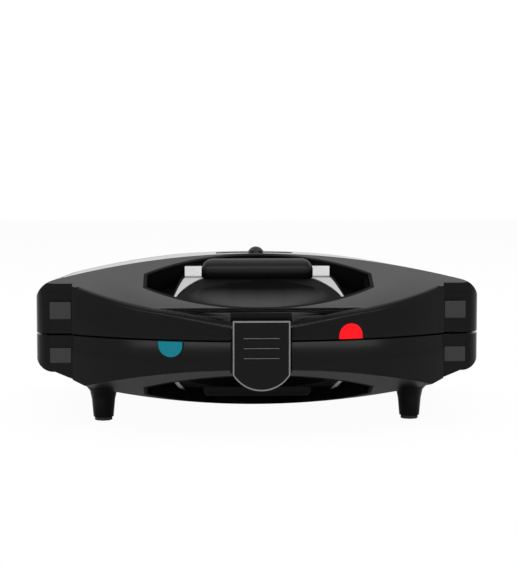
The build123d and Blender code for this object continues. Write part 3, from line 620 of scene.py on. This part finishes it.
def arch_solid(half, inset):
    """The arch seen from the front, as a long bar that dips to the rear."""
    crown, shoulder, side = half["arch"]
    outer = (HALF_WIDTH - inset + 0.7, side - inset - 1.4)
    top = (HALF_WIDTH - inset - 11, shoulder - inset)
    middle = (HALF_WIDTH - inset - 2.75, side - inset + 0.66 * (shoulder - side))
    right = arc_points(outer, middle, top, 12)
    over = arc_points(top, (0, crown - inset), (-top[0], top[1]), 120)
    left = [(-x, h) for x, h in reversed(right)]
    outline = [(outer[0], -12.0)] + right + over[1:-1] + left + [(-outer[0], -12.0)]
    dip = math.radians(half["dip"])
    back = -150.0
    ring = [
        (x, ARCH_TURN_Y + back * math.cos(dip) + h * math.sin(dip), h * math.cos(dip) - back * math.sin(dip))
        for x, h in outline
    ]
    return drawn_solid("arch", ring, (0, 300 * math.cos(dip), -300 * math.sin(dip)))


def side_solid(half, inset):
    """The outline seen from the side, as a long bar from left to right."""
    drop = inset * 0.9
    nose = [(y, h - drop) for y, h in half["nose"]]
    rear = [(y, h - drop) for y, h in half["rear"]]
    rise = (half["top"] - half["nose"][2][1]) / (ARCH_TURN_Y - half["nose"][2][0])
    peak_y = ARCH_TURN_Y + 12
    peak = (peak_y, nose[2][1] + rise * (peak_y - nose[2][0]))
    outline = [(rear[2][0], -8.0), (-125.0, -8.0), (-125.0, nose[0][1])]
    outline += arc_points(*nose, 24) + [peak, (rear[0][0], peak[1])] + arc_points(*rear, 24)
    shift = inset * 0.5
    return drawn_solid("side", [(-140, y + shift, h) for y, h in outline], (280, 0, 0))


def half_form(half, inset, low):
    """All three outlines together, cut off level at the seam."""
    form = plan_solid(inset)
    combine(form, arch_solid(half, inset), "INTERSECT")
    combine(form, side_solid(half, inset), "INTERSECT")
    combine(form, crate("above", (-200, -200, low), (200, 200, 90)), "INTERSECT")
    return form


# %% [markdown]
# Each opening in a shell is cut with a solid of its own: the lens over the finger well, the
# pocket at each front corner, the half-moon of a window and the recess under the panel.
# They could be cut by hand in the mesh, but a solid stays easy to move and to resize.

# %% Solids that are cut out of the shells
LENS_R = 98.67
LENS_FRONT_Y = -95.0
LENS_REAR_Y = -31.0
LENS_HALF = 64.5
LENS_SIDES = 384
POCKET_INNER_X = BOW_HALF - 1
WINDOW_HALF = 6.5
WINDOW_HIGH = 9.0
WINDOW_STRAIGHT = 2.5
PANEL_HALF = 110.5
PANEL_REAR_Y = 86.0
PANEL_CORNER = 5.0
PANEL_BEND = 1.46
PANEL_DEPTH = 1.05
POCKET_BEND = 0.293


def lens_solid(low, high):
    """The lens-shaped prism: two drums that overlap, with the ends cut off."""
    front = drum("hole", LENS_R, 0, LENS_FRONT_Y + LENS_R, low, high, LENS_SIDES)
    rear = drum("rear", LENS_R, 0, LENS_REAR_Y - LENS_R, low, high, LENS_SIDES)
    combine(front, rear, "INTERSECT")
    ends = crate("ends", (-LENS_HALF, -150, low - 5), (LENS_HALF, 50, high + 5))
    combine(front, ends, "INTERSECT")
    return front


def corner_pocket(right, high, radius, depth, side):
    """A shallow pocket at one front corner, rounded at its outer upper corner."""
    bend = arc_points(
        (right, high - radius),
        (right - radius * POCKET_BEND, high - radius * POCKET_BEND),
        (right - radius, high),
        6,
    )
    outline = [(POCKET_INNER_X, -1.0), (right, -1.0)] + bend + [(POCKET_INNER_X, high)]
    ring = [(side * x, FRONT_Y + depth, h) for x, h in outline]
    return drawn_solid("pocket", ring, (0, -depth - 3, 0))


def window_hole(x):
    """The half-moon that a window sits in, flat side at the seam."""
    left = (x - WINDOW_HALF, WINDOW_STRAIGHT)
    right = (x + WINDOW_HALF, WINDOW_STRAIGHT)
    arc = arc_points(right, (x, WINDOW_HIGH), left, 24)
    outline = [left, (left[0], RIM - 1), (right[0], RIM - 1)] + arc[:-1]
    return drawn_solid("moon", [(a, -90.0, h) for a, h in outline], (0, -30, 0))


def panel_recess():
    """The shallow recess that the brushed panel lies in."""
    front = arc_points((-PANEL_HALF, -60.0), (0, -28.0), (PANEL_HALF, -60.0), 96)
    start = (PANEL_HALF, PANEL_REAR_Y - PANEL_CORNER)
    bend = (PANEL_HALF - PANEL_BEND, PANEL_REAR_Y - PANEL_BEND)
    right = arc_points(start, bend, (PANEL_HALF - PANEL_CORNER, PANEL_REAR_Y), 6)
    left = [(-x, y) for x, y in reversed(right)]
    outline = [(x, y, 5.0) for x, y in front + right + left]
    block = drawn_solid("recess", outline, (0, 0, 55))
    combine(block, half_form(LID, PANEL_DEPTH, -2), "DIFFERENCE")
    return block


# %% [markdown]
# The base's front wall curves back a little towards the seam. The plain form is cut into
# rows there, and each row's corners are moved back by a little more, which a bend modifier
# could do too, but only for the whole form at once.

# %% The base's leaning wall
LEAN_HIGH = 13.0
LEAN_BACK = 1.7
LEAN_ROWS = (1.6, 3.0, 4.6, 6.4, 8.4, 10.6, 13.0)


def lean_back(form):
    """Curves the bow's upright wall back a little towards the seam, row by row."""
    pick_only(form)
    bpy.ops.object.mode_set(mode="EDIT")
    for height in LEAN_ROWS:
        bpy.ops.mesh.select_all(action="SELECT")
        bpy.ops.mesh.bisect(plane_co=(0, 0, height * MM), plane_no=(0, 0, 1))
    bpy.ops.mesh.select_mode(type="VERT")
    for height in (RIM,) + LEAN_ROWS[:-1]:
        bpy.ops.mesh.select_all(action="DESELECT")
        mesh = bmesh.from_edit_mesh(form.data)
        for corner in mesh.verts:
            spot = corner.co / MM
            off_wall = abs(math.hypot(spot.x, spot.y - BOW_FRONT_Y - BOW_R) - BOW_R)
            corner.select_set(abs(spot.z - height) < 0.05 and off_wall < 0.4 and spot.y < -60)
        bmesh.update_edit_mesh(form.data)
        shift = LEAN_BACK * (1 - height / LEAN_HIGH) ** 2
        bpy.ops.transform.translate(value=(0, shift * MM, 0))
    bpy.ops.object.mode_set(mode="OBJECT")


# %% [markdown]
# The form is made hollow and then opened: the latch's channel, the lens, the corner grooves
# with the step under each block, the panel's recess and the window. The lid's crease is
# rounded last of all, because a cut through a freshly rounded edge fails easily. The lid
# keeps plain smooth shading, because weighted normals draw streaks along its nose.

# %% The two shells
CHANNEL_HALF = 16.6
CHANNEL_BACK_Y = -99.0
CHANNEL_WALL = 2.4
GROOVE_RIGHT = 122.3
GROOVE_DEPTH = 1.8
GROOVE_R = 5.0
BLOCK_RIGHT = 117.3
BLOCK_R = 2.0
STEP_DEPTH = 0.8
STEP_HIGH = 8.0
SHELL_ANGLE_DEG = 16


def half_shell(name, half):
    """One smooth shell with all its cuts, built above a seam at height nought."""
    form = half_form(half, 0, RIM)
    form.name = name
    if half is BASE:
        lean_back(form)
    inside = half_form(half, WALL, -2)
    outer_x = CHANNEL_HALF + CHANNEL_WALL
    wall = crate("wall", (-outer_x, -112, -9), (outer_x, CHANNEL_BACK_Y + CHANNEL_WALL, 60))
    combine(inside, wall, "DIFFERENCE")
    combine(form, inside, "DIFFERENCE")
    channel = crate("channel", (-CHANNEL_HALF, -112, -9), (CHANNEL_HALF, CHANNEL_BACK_Y, 60))
    combine(form, channel, "DIFFERENCE")
    combine(form, lens_solid(3, 60), "DIFFERENCE")
    outer_high, block_high = half["groove"]
    for side in (-1, 1):
        groove = corner_pocket(GROOVE_RIGHT, outer_high, GROOVE_R, GROOVE_DEPTH, side)
        combine(groove, corner_pocket(BLOCK_RIGHT, block_high, BLOCK_R, 4.0, side), "DIFFERENCE")
        combine(form, groove, "DIFFERENCE")
        low_x, high_x = sorted((side * POCKET_INNER_X, side * BLOCK_RIGHT))
        step = crate("step", (low_x, FRONT_Y - 3, -2), (high_x, FRONT_Y + STEP_DEPTH, STEP_HIGH))
        combine(form, step, "DIFFERENCE")
    if half is LID:
        combine(form, panel_recess(), "DIFFERENCE")
    combine(form, window_hole(half["light_x"]), "DIFFERENCE")
    return form


def place_half(form, turn_over):
    """Moves a finished half to the seam's height, turned over for the base."""
    pick_only(form)
    bpy.ops.object.mode_set(mode="EDIT")
    bpy.ops.mesh.select_all(action="SELECT")
    bpy.ops.mesh.remove_doubles(threshold=0.01 * MM)
    bpy.ops.mesh.dissolve_degenerate(threshold=0.01 * MM)
    if turn_over:
        bpy.ops.transform.resize(value=(1, 1, -1), center_override=(0, 0, 0))
    bpy.ops.transform.translate(value=(0, 0, SEAM_Z))
    bpy.ops.mesh.select_all(action="SELECT")
    bpy.ops.mesh.normals_make_consistent(inside=False)
    bpy.ops.object.mode_set(mode="OBJECT")


def give(piece, finish, body, *replaced):
    """Sets a piece's finish, the body it rides on and the CAD nodes it stands for."""
    piece.data.materials.clear()
    piece.data.materials.append(finish)
    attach(piece, body)
    for name in replaced:
        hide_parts(name)


def on_bow_wall(point):
    """On the bow's upright wall, clear of the latch and of the bow's ends."""
    off_wall = abs(math.hypot(point.x, point.y - BOW_FRONT_Y - BOW_R) - BOW_R)
    return off_wall < 0.4 and 17.5 < abs(point.x) < 101


def lid_crease(point):
    """The lid's upper front edge along the bow."""
    in_window = abs(point.x - LID["light_x"]) < 8 and point.z < 10
    return on_bow_wall(point) and point.z > 5 and not in_window


lid_shell = half_shell("lid_shell", LID)
print("lid crease edges:", round_edges(lid_shell, lid_crease, 2.2, 5))
place_half(lid_shell, False)
pick_only(lid_shell)
bpy.ops.object.shade_smooth_by_angle(angle=math.radians(SHELL_ANGLE_DEG))
give(lid_shell, gloss_black, "lid", "lid_casing")
base_shell = half_shell("base_shell", BASE)
place_half(base_shell, True)
even_shading(base_shell, SHELL_ANGLE_DEG)
give(base_shell, gloss_black, "base", "base_casing")
print("shell faces:", len(lid_shell.data.polygons), len(base_shell.data.polygons))

# %% [markdown]
# The panel, the oval plate, the stud, the wells, the base's button and the feet keep their
# CAD shape and their finish. Each is a merged copy that is shaded smoothly across the
# facets of its curves.

# %% Smoother copies of the small pieces
SOFT_ANGLE_DEG = 32
SOFT_COPIES = {
    "lid_top_panel": "lid",
    "lid_badge_plate": "lid",
    "lid_panel_stud": "lid",
    "lid_finger_well": "lid",
    "base_finger_well": "base",
    "base_release_button": "base_button",
    "base_feet": "base",
}
for name, body in SOFT_COPIES.items():
    copy = working_copy(name, body)
    even_shading(copy, SOFT_ANGLE_DEG)
    print(name, "faces:", len(copy.data.polygons))

# %% [markdown]
# The latch's face is a shallow tray inside a narrow raised rim, and the rim is painted a
# lighter grey, a painted highlight that draws a bright line round it. One outline drawn at
# three sizes gives the rim, the hole in it and the tray. Behind them a merged copy of the CAD
# latch keeps its barrel and hook, with its front cut away, and a thin bead in the same grey
# draws a painted glint in each finger groove.

# %% The latch's rim and tray
LATCH_FRONT_Y = -109.8
LATCH_HALF = 15.4
LATCH_TOP_Z = 63.4
LATCH_SIDE_Z = 34.5
LATCH_FOOT_Z = 25.7
GROOVE_HEIGHTS = (54.0, 48.6, 43.2)
GROOVE_HALF = 10.3
GROOVE_RISE = 0.45
BEAD_HALF = 9.6
BEAD_RISE = 0.16
# Painted highlight: a grey far lighter than the gloss black, for the rim's bright edge and the groove beads.
rim_painted_highlight = moulded_plastic("rim_painted_highlight", (0.16, 0.16, 0.165), 0.3, 0.04, 0.04, 0.05, 0.5)


def tray(name, inset, near_y, far_y):
    """The latch's outline, drawn smaller, as a solid block."""
    side = LATCH_HALF - inset
    foot = arc_points((side, LATCH_SIDE_Z), (0, LATCH_FOOT_Z + inset), (-side, LATCH_SIDE_Z), 40)
    outline = [(-side, LATCH_TOP_Z - inset), (side, LATCH_TOP_Z - inset)] + foot
    return drawn_solid(name, [(x, near_y, z) for x, z in outline], (0, far_y - near_y, 0))


rim = tray("latch_rim", 0.0, LATCH_FRONT_Y, LATCH_FRONT_Y + 1.6)
combine(rim, tray("rim_hole", 0.75, LATCH_FRONT_Y - 2, LATCH_FRONT_Y + 3), "DIFFERENCE")
even_shading(rim, 30)
give(rim, rim_painted_highlight, "latch")
face = tray("latch_face", 0.7, LATCH_FRONT_Y + 0.55, LATCH_FRONT_Y + 2.6)
for height in GROOVE_HEIGHTS:
    low = (-GROOVE_HALF, LATCH_FRONT_Y - 1, height - GROOVE_RISE)
    high = (GROOVE_HALF, LATCH_FRONT_Y + 1.3, height + GROOVE_RISE)
    combine(face, crate("groove", low, high), "DIFFERENCE")
even_shading(face, 30)
give(face, gloss_black, "latch")
latch_back = working_copy("latch", "latch")
front_zone = crate("front_zone", (-20, -112, 20), (20, LATCH_FRONT_Y + 2.0, 70))
combine(latch_back, front_zone, "DIFFERENCE")
even_shading(latch_back, 30)
for height in GROOVE_HEIGHTS:
    low = (-BEAD_HALF, LATCH_FRONT_Y + 0.75, height - BEAD_RISE)
    high = (BEAD_HALF, LATCH_FRONT_Y + 1.2, height + BEAD_RISE)
    bead = crate("latch_bead_%d" % height, low, high)
    apply_modifier(bead, "BEVEL", width=0.1 * MM, segments=2)
    give(bead, rim_painted_highlight, "latch")
print("latch pieces:", len(rim.data.polygons), len(face.data.polygons))

# %% [markdown]
# The release button is a plump dark pill, and a pale polished cheek fits against each of
# its ends. Each cheek runs on as a tail that narrows along the edge of the bowl. The pill
# is a squashed ball whose two halves are pulled apart. A cheek is a block with the pill's
# round end cut from it, also at the depths that the pill is pressed to, and its tail is a
# ribbon laid on the bowl's edge.

# %% The lid's button, cheeks and tails
PILL_Y = -43.5
PILL_Z = 86.6
PILL_RADII = (7.2, 5.0, 6.4)
PILL_END_X = 24.9
PILL_TRAVEL = 3.0


def pill_shape(name, grow, lower=0.0):
    """A long pill: a squashed ball whose two halves are pulled apart along X."""
    bpy.ops.object.select_all(action="DESELECT")
    place = Vector((0, PILL_Y, PILL_Z - lower)) * MM
    bpy.ops.mesh.primitive_uv_sphere_add(
        segments=48, ring_count=32, radius=1.0, location=place, rotation=(0, math.pi / 2, 0)
    )
    ball = bpy.context.object
    ball.name = name
    bpy.ops.object.transform_apply(location=False, rotation=True, scale=True)
    ball.scale = [(radius + grow) * MM for radius in PILL_RADII]
    bpy.ops.object.transform_apply(location=True, rotation=True, scale=True)
    bpy.ops.object.mode_set(mode="EDIT")
    for side in (-1, 1):
        bpy.ops.mesh.select_mode(type="VERT")
        bpy.ops.mesh.select_all(action="DESELECT")
        mesh = bmesh.from_edit_mesh(ball.data)
        for corner in mesh.verts:
            corner.select_set(corner.co.x * side > 0.01 * MM)
        bmesh.update_edit_mesh(ball.data)
        bpy.ops.transform.translate(value=(side * PILL_END_X * MM, 0, 0))
    bpy.ops.object.mode_set(mode="OBJECT")
    return ball


button = pill_shape("lid_button_pill", 0.0)
even_shading(button, 60)
give(button, satin_black, "lid_button", "lid_release_button")


def ribbon(name, stations, thick):
    """A thin strip through rows of left and right points, given a thickness downwards."""
    points = [Vector(point) * MM for row in stations for point in row]
    quads = [(2 * n, 2 * n + 1, 2 * n + 3, 2 * n + 2) for n in range(len(stations) - 1)]
    mesh = bpy.data.meshes.new(name)
    mesh.from_pydata(points, [], quads)
    strip = bpy.data.objects.new(name, mesh)
    scene.collection.objects.link(strip)
    pick_only(strip)
    bpy.ops.object.mode_set(mode="EDIT")
    bpy.ops.mesh.select_all(action="SELECT")
    bpy.ops.mesh.extrude_region_move(TRANSFORM_OT_translate={"value": (0, 0, -thick * MM)})
    bpy.ops.mesh.select_all(action="SELECT")
    bpy.ops.mesh.normals_make_consistent(inside=False)
    bpy.ops.object.mode_set(mode="OBJECT")
    return strip


def slope_height(y):
    """The height of the lid's sloping front over the table."""
    nose_y, nose_h = LID["nose"][2]
    return SEAM_Z_MM + nose_h + (y - nose_y) * (LID["top"] - nose_h) / (ARCH_TURN_Y - nose_y)


CHEEK_INNER_X = 27.0
CHEEK_OUTER_X = 41.4
CHEEK_LOW = (-45.5, 81.6)
CHEEK_HIGH = (-36.0, 88.8)
TAIL_STEPS = 16
TAIL_START_Y = -50.6
TAIL_LONG = 30.0
for side in (-1, 1):
    low_x, high_x = sorted((side * CHEEK_INNER_X, side * CHEEK_OUTER_X))
    cheek = crate("lid_cheek", (low_x,) + CHEEK_LOW, (high_x,) + CHEEK_HIGH)
    for lower in (0.0, PILL_TRAVEL / 2, PILL_TRAVEL):
        combine(cheek, pill_shape("pill_room", 0.35, lower), "DIFFERENCE")
    stations = []
    for number in range(TAIL_STEPS + 1):
        t = number / TAIL_STEPS
        y = TAIL_START_Y - TAIL_LONG * t
        outer_x = CHEEK_OUTER_X + 7.6 * t**0.8
        width = 9.6 * (1 - t) ** 2.4 + 0.9
        height = slope_height(y) - 4.3
        stations.append(((side * (outer_x - width), y, height), (side * outer_x, y, height)))
    tail = ribbon("lid_tail", stations, 0.9)
    even_shading(tail, 40)
    apply_modifier(cheek, "BEVEL", width=0.4 * MM, segments=2, limit_method="ANGLE", angle_limit=0.6)
    even_shading(cheek, 40)
    word = "left" if side < 0 else "right"
    cheek.name = "lid_cheek_" + word
    tail.name = "lid_tail_" + word
    give(cheek, polished_steel, "lid", "lid_well_trim")
    # The tail's darker steel is painted shade.
    give(tail, tail_steel_painted_shade, "lid")
print("button and trim faces:", len(button.data.polygons), len(cheek.data.polygons))

# %% [markdown]
# At each front corner stands a smooth block with a step below it. Its face is painted a
# shade lighter than the gloss round it, as painted light on the part of the block that
# catches it, so each block gets a thin rounded satin plate on its front face.

# %% Corner block faces
# Painted light: a black a shade lighter and duller than the gloss, for the lit face of each block.
block_face_painted_light = moulded_plastic("block_face_painted_light", (0.006, 0.006, 0.0065), 0.42, 0.05, 0.04, 0.1, 0.42)
BLOCK_FACE_X = (104.8, 116.7)
BLOCKS = {"lid": (8.6, 18.2, 1), "base": (7.6, 16.0, -1)}
for body, (low_h, high_h, upward) in BLOCKS.items():
    low_z, high_z = sorted((SEAM_Z_MM + upward * low_h, SEAM_Z_MM + upward * high_h))
    for side in (-1, 1):
        low_x, high_x = sorted(side * x for x in BLOCK_FACE_X)
        name = body + "_block_face_" + ("left" if side < 0 else "right")
        plate = crate(name, (low_x, FRONT_Y - 0.35, low_z), (high_x, FRONT_Y + 0.4, high_z))
        apply_modifier(plate, "BEVEL", width=0.3 * MM, segments=3)
        even_shading(plate, 40)
        give(plate, block_face_painted_light, body)
print("corner block faces:", 2 * len(BLOCKS))
